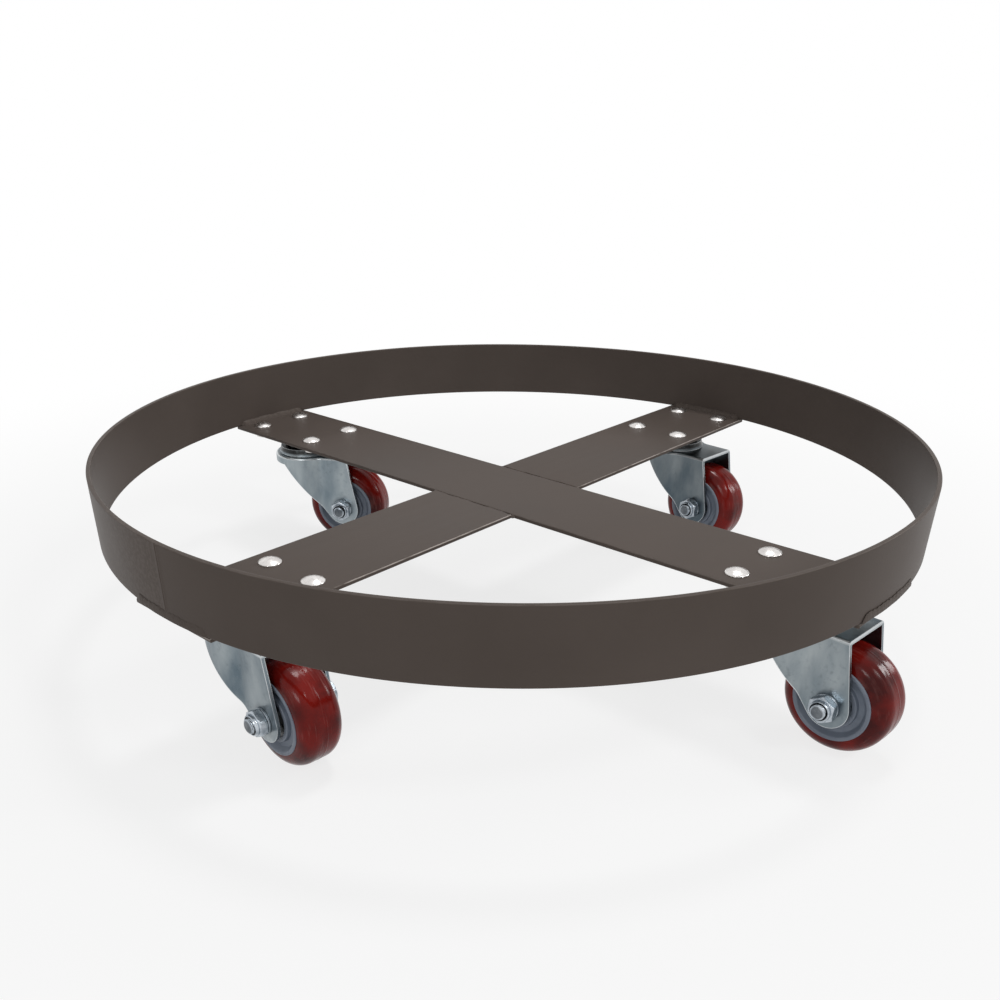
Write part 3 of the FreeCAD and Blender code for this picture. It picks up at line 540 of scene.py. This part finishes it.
bright_zinc = Finish("bright_zinc", Metallic=1.0)
bright_cloud = bright_zinc.spread(bright_zinc.noise(160, 4), 0.35, 0.65)
bright_zinc.feed("Base Color", bright_zinc.blend(bright_cloud, bright_zinc_dull, bright_zinc_pale))
bright_zinc.roughness(bright_zinc.noise(420, 3), 0.2, 0.36)
bright_zinc.bump([(bright_zinc.noise(700, 3), 0.00005)], 0.6)
bolt_outline = bolt_profile()
bolt_sheets, nut_places = [], []
for corner, arm in arms.items():
    across = np.cross(up, arm)
    for along_side in (-1, 1):
        for across_side in (-1, 1):
            place = (swivels[corner] + along_side * bolt_pitch_along * arm
                     + across_side * bolt_pitch_across * across)
            bolt_sheets.append((turned(bolt_outline, bolt_columns, place, up, arm, bolt_thread), False))
            nut_places.append((place, arm))
bolts = new_piece("castor_bolts_plated", bolt_sheets, bright_zinc.material)
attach(bolts, "frame")
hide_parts("castor_bolts")

# Castor nuts: plain hexagon nuts under the plates, with the corners chamfered off in curves
# where the cone of the chamfer cuts the flats.
nut_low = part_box("castor_nuts")[0].z
nut_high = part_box("castor_nuts")[1].z
nut_half_width = 0.0065
chamfer_share = 0.96
end_face_share = 0.9
hexagon_columns = 96
chamfer_slope = math.tan(math.pi / 6)


def hexagon(half_width, low, high, bore, centre, along, side, chamfers=(True, True)):
    """A hexagon nut or head. Round the axis its radius is half the width over the cosine of the
    turn from the nearest flat, held inside a cone of 30 degrees at each chamfered end. A bore
    goes right through, and without one the ends close in a pole."""
    turn = np.linspace(0, 2 * math.pi, hexagon_columns, endpoint=False)
    flats = half_width / np.cos((turn + math.pi / 6) % (math.pi / 3) - math.pi / 6)
    depth = np.linspace(0, half_width * (2 / math.sqrt(3) - chamfer_share) * chamfer_slope * 1.05, 7)
    height = np.concatenate([[low, low], low + depth, high - depth[::-1], [high, high]])
    cone = half_width * chamfer_share + depth / chamfer_slope
    open_end = np.full(len(depth), half_width * 2)
    end_face = half_width * end_face_share
    inner = bore if bore else 0.0
    limit = np.concatenate([[inner, end_face], cone if chamfers[0] else open_end,
                            cone[::-1] if chamfers[1] else open_end, [end_face, inner]])
    radius = np.minimum(limit[:, None], flats)
    other = np.cross(along, side)
    sheet = (centre + height[:, None, None] * along + (radius * np.cos(turn))[..., None] * side
             + (radius * np.sin(turn))[..., None] * other)
    return sheet, bool(bore)


nut_sheets = []
for place, arm in nut_places:
    nut_sheets.append(hexagon(nut_half_width, nut_low, nut_high, bolt_radius, place, up, arm))
nuts = new_piece("castor_nuts_plated", nut_sheets, bright_zinc.material)
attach(nuts, "frame")
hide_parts("castor_nuts")

# Swivel heads and wheel bearings: a king pin riveted through the plate's dish, the fork and the
# lower race cap, with two rows of hardened balls between them, and in each wheel two more rows
# between rings and a sleeve. Plain greased steel, hardly seen.
upper_ball_radius = 0.0030
upper_row_radius = 0.0175
upper_row_height = 0.0944
upper_ball_count = 16
lower_ball_radius = 0.0025
lower_row_radius = 0.0135
lower_row_height = 0.0878
lower_ball_count = 14
bearing_ball_radius = 0.0024
bearing_row_radius = 0.0099
bearing_row_offset = 0.0110
bearing_ball_count = 9
ball_rings = 8
ball_columns = 12
greased_steel_pale = (0.20, 0.205, 0.21, 1)
greased_steel_dark = (0.055, 0.056, 0.058, 1)


def ball_row(count, row_radius, ball_radius, centre, along, start):
    """Balls spread evenly round a circle about a line: each a half circle turned into a sphere."""
    swing = np.linspace(0, math.pi, ball_rings + 1)
    half_circle = ball_radius * np.stack([np.sin(swing), np.cos(swing)], 1)
    beside = np.cross(along, start)
    sheets = []
    for turn in np.arange(count) * 2 * math.pi / count:
        outward = math.cos(turn) * start + math.sin(turn) * beside
        place = centre + row_radius * outward
        sheets.append((turned(half_circle, ball_columns, place, along, outward), False))
    return sheets


greased_steel = Finish("greased_steel", Metallic=1.0)
grease = greased_steel.noise(240, 4)
grease_film = greased_steel.spread(grease, 0.35, 0.7)
greased_steel.feed("Base Color", greased_steel.blend(grease_film, greased_steel_dark, greased_steel_pale))
greased_steel.roughness(grease, 0.18, 0.4)
hubs = {}
for corner in corners:
    for piece in ("king_pin", "lower_cap", "axle_sleeve", "bearing_rings"):
        frame["nodes"][f"{corner}_{piece}"].data.materials.clear()
        frame["nodes"][f"{corner}_{piece}"].data.materials.append(greased_steel.material)
    roll = joints[f"{corner}_roll"]
    hub, axle = np.array(roll["pos_m"]), np.array(roll["axis"])
    trail = np.cross(axle, up)
    hubs[corner] = (hub, axle, trail)
    upper_centre = swivels[corner] + upper_row_height * up
    lower_centre = swivels[corner] + lower_row_height * up
    swivel_rows = ball_row(upper_ball_count, upper_row_radius, upper_ball_radius, upper_centre, up, trail)
    swivel_rows += ball_row(lower_ball_count, lower_row_radius, lower_ball_radius, lower_centre, up, trail)
    swivel_balls = new_piece(f"{corner}_swivel_balls_ground", swivel_rows, greased_steel.material)
    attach(swivel_balls, f"{corner}_swivel")
    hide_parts(f"{corner}_swivel_balls")
    bearing_rows = []
    for side in (-1, 1):
        row_centre = hub + side * bearing_row_offset * axle
        bearing_rows += ball_row(bearing_ball_count, bearing_row_radius, bearing_ball_radius,
                                 row_centre, -axle, trail)
    bearing_balls = new_piece(f"{corner}_bearing_balls_ground", bearing_rows, greased_steel.material)
    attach(bearing_balls, f"{corner}_wheel")
    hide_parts(f"{corner}_bearing_balls")

# Wheel cores: moulded from grey plastic, with a rim lip, a dished face and a bearing boss on
# each side. Every corner of the mould leaves a small round, and the edges carry a painted highlight.
core_half_width = 0.017
core_rim_radius = 0.0268
core_lip_radius = 0.0242
core_dish_radius = 0.0216
core_dish_half_width = 0.0130
core_boss_radius = 0.0175
core_boss_half_width = 0.0165
bearing_seat_radius = 0.0140
bearing_seat_depth = 0.0070
core_bore_radius = 0.0125
core_round = 0.0008
core_highlight_radius = 0.0009
core_columns = 96
core_grey = (0.225, 0.258, 0.315, 1)
core_shadow_grey = (0.165, 0.192, 0.242, 1)
core_highlight_grey = (0.42, 0.46, 0.53, 1)


def rounded_profile(points, size):
    """A closed outline with every corner replaced by a parabola that leaves the two sides a
    given distance, or at most two fifths of the side, from the corner."""
    here = np.asarray(points, float)
    back, ahead = np.roll(here, 1, 0) - here, np.roll(here, -1, 0) - here
    back_length = np.linalg.norm(back, axis=1, keepdims=True)
    ahead_length = np.linalg.norm(ahead, axis=1, keepdims=True)
    enter = here + back * np.minimum(size / back_length, 0.4)
    leave = here + ahead * np.minimum(size / ahead_length, 0.4)
    share = np.linspace(0, 1, 5)[None, :, None]
    curve = ((1 - share) ** 2 * enter[:, None] + 2 * share * (1 - share) * here[:, None]
             + share ** 2 * leave[:, None])
    return curve.reshape(-1, 2)


core_half = [
    (core_rim_radius, core_half_width), (core_lip_radius, core_half_width),
    (core_dish_radius, core_dish_half_width), (core_boss_radius, core_dish_half_width),
    (core_boss_radius, core_boss_half_width), (bearing_seat_radius, core_boss_half_width),
    (bearing_seat_radius, bearing_seat_depth), (core_bore_radius, bearing_seat_depth),
]
core_other_half = [(radius, -across) for radius, across in core_half[::-1]]
core_profile = rounded_profile(core_half + core_other_half, core_round)

core_plastic = Finish("core_plastic")
core_cloud = core_plastic.spread(core_plastic.noise(70, 4), 0.3, 0.7)
core_colour = core_plastic.blend(core_cloud, core_shadow_grey, core_grey)
# Lighter along the edges: painted highlight.
core_edge_highlight = core_plastic.edges(core_highlight_radius, 0.01, 0.25)
core_colour = core_plastic.blend(core_edge_highlight, core_colour, core_highlight_grey, strength=0.6)
core_plastic.feed("Base Color", core_colour)
core_plastic.roughness(core_plastic.noise(300, 3), 0.4, 0.56)
core_plastic.bump([(core_plastic.noise(1400, 2), 0.00003)], 0.5)
for corner in corners:
    core_sheet = turned(core_profile, core_columns, *hubs[corner])
    core = new_piece(f"{corner}_core_moulded", [(core_sheet, True)], core_plastic.material)
    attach(core, f"{corner}_wheel")
    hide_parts(f"{corner}_wheel_core")

# Treads: polyurethane cast round the cores in a two-part mould, dark red and glossy, with full
# round shoulders, a fine flash line round the middle and light scuffs along the rolling direction,
# which also serve as painted highlights.
tread_radius = 0.0375
tread_half_width = 0.016
tread_land = 0.0003
flash_height = 0.00014
flash_half_width = 0.0004
flash_share = 0.25
tread_columns = 192
scuff_and_highlight_stretch = (70, 70, 900)
swell_stretch = (75, 75, 200)
tread_red = (0.205, 0.0085, 0.0052, 1)
tread_deep = (0.060, 0.0030, 0.0026, 1)
tread_scuff_and_highlight = (0.40, 0.17, 0.15, 1)


def tread_profile():
    """Radius against width: a quarter ellipse up each shoulder, a crown that is flat but for the
    flash line's small bell, and the rim of the core as the closed inside."""
    shoulder = tread_radius - core_rim_radius - tread_land
    swing = np.linspace(0, math.pi / 2, 16)
    left = np.linspace(-1, -flash_share, 6)[1:]
    middle = np.linspace(-flash_share, flash_share, 15)[1:-1]
    right = np.linspace(flash_share, 1, 6)[:-1]
    across = np.concatenate([left, middle, right]) * (tread_half_width - shoulder)
    flash = flash_height * np.exp(-(across / flash_half_width) ** 2)
    crown = np.stack([tread_radius - flash_height + flash, across], 1)
    rise = np.stack([core_rim_radius + tread_land + (shoulder - flash_height) * np.sin(swing),
                     -tread_half_width + shoulder * (1 - np.cos(swing))], 1)
    fall = rise[::-1] * [1, -1]
    inside = [(core_rim_radius, tread_half_width), (core_rim_radius, -tread_half_width)]
    return np.concatenate([rise, crown, fall, inside])


urethane = Finish("tread_urethane", IOR=1.5, Specular_IOR_Level=0.16)
rolling = urethane.mark("rolling", "Vector")
urethane_cloud = urethane.spread(urethane.noise(45, 4), 0.34, 0.62)
urethane_colour = urethane.blend(urethane_cloud, tread_deep, tread_red)
# Light scuffs that also serve as painted highlights.
scuff_and_highlight_lines = urethane.spread(urethane.noise(1.0, 5, rolling, scuff_and_highlight_stretch), 0.54, 0.72)
scuff_and_highlight_patches = urethane.spread(urethane.noise(60, 2), 0.42, 0.66)
scuffs_and_highlights = urethane.product(scuff_and_highlight_lines, scuff_and_highlight_patches)
urethane.feed("Base Color", urethane.blend(scuffs_and_highlights, urethane_colour, tread_scuff_and_highlight, strength=0.28))
urethane.roughness(urethane.noise(120, 4), 0.13, 0.25)
swells = urethane.noise(1.0, 1.5, rolling, swell_stretch)
urethane.bump([(swells, 0.0006), (urethane.noise(260, 3), 0.00006)], 0.6)
tread_outline = tread_profile()
for corner in corners:
    centre, axle, trail = hubs[corner]
    tread_sheet = turned(tread_outline, tread_columns, centre, axle, trail)
    local = tread_sheet - centre
    marks = {"rolling": np.stack([local @ trail, local @ up, local @ axle], -1).reshape(-1, 3)}
    tread = new_piece(f"{corner}_tread_cast", [(tread_sheet, True)], urethane.material, marks)
    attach(tread, f"{corner}_wheel")
    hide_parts(f"{corner}_tread")

# Axles: a hexagon bolt through both fork legs and the sleeve, a washer on each side, and a lock
# nut on the side away from the head, whose round collar holds a dark insert ring that grips the
# thread. Bright zinc plated.
axle_radius = 0.005
fork_half_width = 0.0222
washer_radius = 0.009
washer_thickness = 0.0016
washer_round = 0.0003
axle_hexagon = 0.0085
axle_head_height = 0.006
axle_nut_height = 0.006
collar_radius = 0.0072
collar_height = 0.0022
collar_sink = 0.0004
collar_straight = 0.0010
insert_radius = 0.0061
axle_tail = 0.0022
tail_chamfer = 0.0008
tail_darkness = 0.72
axle_thread_pitch = 0.0015
axle_thread_depth = 0.0007
axle_columns = 40
collar_columns = 48
washer_columns = 48
axle_steel_pale = (0.54, 0.585, 0.63, 1)
axle_steel_dull = (0.27, 0.31, 0.35, 1)
axle_steel_dark_and_shade = (0.020, 0.022, 0.026, 1)

washer_face = fork_half_width + washer_thickness
nut_face = washer_face + axle_nut_height
collar_face = nut_face + collar_height
tail_face = collar_face + axle_tail
tail_cut = np.arange(nut_face, tail_face - tail_chamfer, axle_thread_pitch / thread_steps)
axle_profile = np.concatenate([
    [(0, -washer_face), (axle_radius, -washer_face), (axle_radius, nut_face - 0.0002)],
    np.stack([np.full(len(tail_cut), axle_radius), tail_cut], 1),
    [(axle_radius - 0.0004, tail_face - tail_chamfer), (axle_radius - 0.0012, tail_face - 0.0001),
     (axle_radius - 0.0016, tail_face), (0, tail_face)],
])
collar_profile = np.array([
    (axle_radius, nut_face - collar_sink), (collar_radius, nut_face - collar_sink),
    (collar_radius, nut_face + collar_straight),
    (collar_radius - 0.0002, collar_face - 0.0004), (collar_radius - 0.0006, collar_face),
    (insert_radius + 0.0001, collar_face - 0.0001), (insert_radius, collar_face - 0.0003),
    (insert_radius - 0.0001, collar_face - 0.0006), (axle_radius, collar_face - 0.0007),
])
on_insert = (collar_profile[:, 0] <= insert_radius) & (collar_profile[:, 1] > nut_face)
on_tail_end = (axle_profile[:, 0] < axle_radius * 0.9) & (axle_profile[:, 1] > collar_face)
insert_marks = np.repeat(np.where(on_insert, 1.0, 0.0), collar_columns)
tail_marks = np.repeat(np.where(on_tail_end, tail_darkness, 0.0), axle_columns)
washer_profile = rounded_profile([
    (axle_radius, fork_half_width), (washer_radius, fork_half_width),
    (washer_radius, washer_face), (axle_radius, washer_face)], washer_round)
axle_thread = (nut_face, tail_face - 0.0009, axle_thread_pitch, axle_thread_depth)

axle_steel = Finish("axle_steel", Metallic=1.0)
axle_cloud = axle_steel.spread(axle_steel.noise(190, 4), 0.35, 0.65)
axle_colour = axle_steel.blend(axle_cloud, axle_steel_dull, axle_steel_pale)
# Darker in crevices as painted shade, fully dark on the insert ring, and darker on the tail's end face.
axle_dark = axle_steel.larger(axle_steel.crevices(0.0015, 0.6, 0.2), axle_steel.mark("dark"))
axle_steel.feed("Base Color", axle_steel.blend(axle_dark, axle_colour, axle_steel_dark_and_shade))
axle_steel.roughness(axle_steel.noise(500, 3), 0.22, 0.4)
axle_steel.bump([(axle_steel.noise(900, 2), 0.00003)], 0.5)
for corner in corners:
    centre, axle, trail = hubs[corner]
    nut_side = -axle
    shank = turned(axle_profile, axle_columns, centre, nut_side, trail, axle_thread)
    head = hexagon(axle_hexagon, washer_face, washer_face + axle_head_height, None, centre, axle, trail,
                   (False, True))
    nut = hexagon(axle_hexagon, washer_face, nut_face, axle_radius, centre, nut_side, trail)
    collar = turned(collar_profile, collar_columns, centre, nut_side, trail)
    washers = []
    for side in (axle, nut_side):
        washers.append((turned(washer_profile, washer_columns, centre, side, trail), True))
    head_marks = np.zeros(head[0][..., 0].size)
    nut_marks = np.zeros(nut[0][..., 0].size)
    axle_pieces = {
        "axle_bolt": ([(shank, False), head], {"dark": np.concatenate([tail_marks, head_marks])}),
        "axle_nut": ([nut, (collar, True)], {"dark": np.concatenate([nut_marks, insert_marks])}),
        "axle_washers": (washers, None),
    }
    for node, (sheets, marks) in axle_pieces.items():
        piece = new_piece(f"{corner}_{node}_plated", sheets, axle_steel.material, marks)
        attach(piece, f"{corner}_swivel")
        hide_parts(f"{corner}_{node}")

# The floor: a plain pale studio floor that fades into a white surround. It takes the soft
# shadow of the trolley, and to the camera and in reflections it is nearly white.
floor_half = 4.0
floor_grey = (0.80, 0.80, 0.80, 1)
floor_fade_start = 0.25
floor_fade_end = 1.0
floor_glow_share = 0.78
floor_mesh = bpy.data.meshes.new("floor")
floor_mesh.from_pydata([(-floor_half, -floor_half, 0), (floor_half, -floor_half, 0),
                        (floor_half, floor_half, 0), (-floor_half, floor_half, 0)], [], [(0, 1, 2, 3)])
floor = bpy.data.objects.new("floor", floor_mesh)
bpy.context.scene.collection.objects.link(floor)
floor_paint = bpy.data.materials.new("floor_white")
floor_paint.use_nodes = True
floor_nodes, floor_links = floor_paint.node_tree.nodes, floor_paint.node_tree.links
floor_nodes.clear()


def seen_directly(nodes, links):
    """1 for what the camera sees directly, in a reflection or through glass, and 0 for light."""
    path = nodes.new("ShaderNodeLightPath")
    total = nodes.new("ShaderNodeMath")
    total.operation = "ADD"
    links.new(path.outputs["Is Camera Ray"], total.inputs[0])
    links.new(path.outputs["Is Glossy Ray"], total.inputs[1])
    seen = nodes.new("ShaderNodeMath")
    seen.operation = "ADD"
    seen.use_clamp = True
    links.new(total.outputs[0], seen.inputs[0])
    links.new(path.outputs["Is Transmission Ray"], seen.inputs[1])
    return seen.outputs[0]


floor_diffuse = floor_nodes.new("ShaderNodeBsdfDiffuse")
floor_diffuse.inputs["Color"].default_value = floor_grey
floor_glow = floor_nodes.new("ShaderNodeEmission")
floor_glow.inputs["Strength"].default_value = 1.0
floor_place = floor_nodes.new("ShaderNodeTexCoord")
floor_distance = floor_nodes.new("ShaderNodeVectorMath")
floor_distance.operation = "LENGTH"
floor_links.new(floor_place.outputs["Object"], floor_distance.inputs[0])
floor_fade = floor_nodes.new("ShaderNodeMapRange")
floor_fade.interpolation_type = "SMOOTHSTEP"
floor_fade.inputs["From Min"].default_value = floor_fade_start
floor_fade.inputs["From Max"].default_value = floor_fade_end
floor_fade.inputs["To Min"].default_value = floor_glow_share
floor_fade.inputs["To Max"].default_value = 1.0
floor_links.new(floor_distance.outputs["Value"], floor_fade.inputs["Value"])
floor_share = floor_nodes.new("ShaderNodeMath")
floor_share.operation = "MULTIPLY"
floor_links.new(seen_directly(floor_nodes, floor_links), floor_share.inputs[0])
floor_links.new(floor_fade.outputs["Result"], floor_share.inputs[1])
floor_mix = floor_nodes.new("ShaderNodeMixShader")
floor_links.new(floor_share.outputs[0], floor_mix.inputs[0])
floor_links.new(floor_diffuse.outputs[0], floor_mix.inputs[1])
floor_links.new(floor_glow.outputs[0], floor_mix.inputs[2])
floor_output = floor_nodes.new("ShaderNodeOutputMaterial")
floor_links.new(floor_mix.outputs[0], floor_output.inputs["Surface"])
floor_mesh.materials.append(floor_paint)

# The light: an even white surround, a soft lamp overhead, and three more from the right, the
# right front and the left front, which draw the highlights.
surround_light = 0.3
surround_seen = 1.0
lamp_target = Vector((0, 0, 0.08))
lamps = [
    ("overhead_lamp", (0.4, 0.45, 2.2), 0.5, 15),
    ("right_lamp", (2.0, 0.25, 0.95), 0.5, 7.5),
    ("right_front_lamp", (1.3, -1.3, 1.9), 0.45, 10),
    ("left_front_lamp", (-0.9, -1.9, 1.2), 0.6, 7),
]
world = bpy.data.worlds.new("studio")
bpy.context.scene.world = world
world.use_nodes = True
world_nodes, world_links = world.node_tree.nodes, world.node_tree.links
surround = world_nodes["Background"]
surround.inputs["Color"].default_value = (1, 1, 1, 1)
surround_strength = world_nodes.new("ShaderNodeMapRange")
surround_strength.inputs["To Min"].default_value = surround_light
surround_strength.inputs["To Max"].default_value = surround_seen
world_links.new(seen_directly(world_nodes, world_links), surround_strength.inputs["Value"])
world_links.new(surround_strength.outputs["Result"], surround.inputs["Strength"])
for name, place, width, power in lamps:
    lamp = bpy.data.lights.new(name, "AREA")
    lamp.shape = "DISK"
    lamp.size = width
    lamp.energy = power
    holder = bpy.data.objects.new(name, lamp)
    holder.location = place
    holder.rotation_euler = (lamp_target - Vector(place)).to_track_quat("-Z", "Y").to_euler()
    bpy.context.scene.collection.objects.link(holder)

# The camera: at the photograph's place and height, looking down by about 31 degrees. The
# picture is cut from a wider view, so its optical centre lies below the middle.
camera_data = bpy.data.cameras.new("camera")
camera_data.sensor_width = 36.0
camera_data.lens = 34.548
camera_data.shift_x = 0.03055
camera_data.shift_y = 0.17758
camera = bpy.data.objects.new("camera", camera_data)
camera.matrix_world = Matrix((
    (0.999131, 0.023270, -0.034593, -0.06009),
    (-0.041620, 0.508299, -0.860174, -0.73653),
    (-0.002433, 0.860866, 0.508825, 0.36771),
    (0, 0, 0, 1),
))
bpy.context.scene.collection.objects.link(camera)
bpy.context.scene.camera = camera
bpy.context.scene.view_settings.view_transform = "Standard"

bpy.context.view_layer.update()
